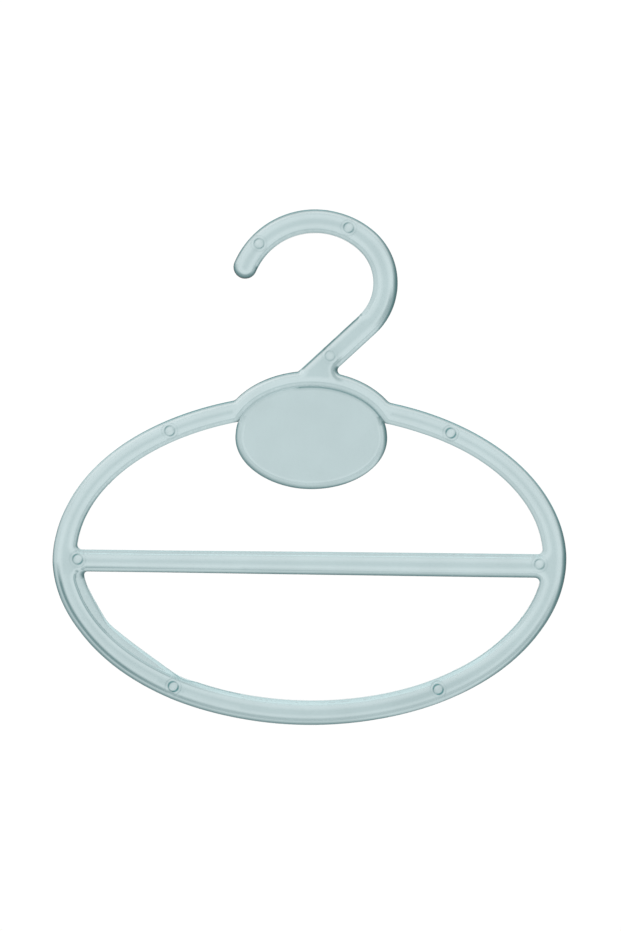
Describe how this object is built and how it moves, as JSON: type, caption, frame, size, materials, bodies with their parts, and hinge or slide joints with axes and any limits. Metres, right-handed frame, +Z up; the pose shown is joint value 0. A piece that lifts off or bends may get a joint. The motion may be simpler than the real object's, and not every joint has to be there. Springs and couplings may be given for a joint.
{
  "type": "scarf hanger",
  "caption": "Flat hanger for scarves: an oval ring with a straight cross bar, an oval label plate under an arch, and an open hook on a slanting stem.",
  "frame": {"origin": "axis of the hook's seat, in the middle of the moulding's thickness", "axes": "+X to the right seen from the front, +Y from the front face to the back face, +Z up from the ring to the hook"},
  "size_m": [0.2, 0.0046, 0.201],
  "materials": {
    "plastic": "gloss"
  },
  "bodies": {
    "root": {"hook_crook": "plastic", "hook_bend": "plastic", "hook_shank": "plastic", "neck_arch": "plastic", "label_plate": "plastic", "ring_top_left": "plastic", "ring_top_right": "plastic", "ring_shoulder_upper_left": "plastic", "ring_shoulder_upper_right": "plastic", "ring_end_left": "plastic", "ring_end_right": "plastic", "ring_shoulder_lower_left": "plastic", "ring_shoulder_lower_right": "plastic", "ring_bottom_left": "plastic", "ring_bottom_right": "plastic", "cross_bar": "plastic"}
  },
  "joints": []
}
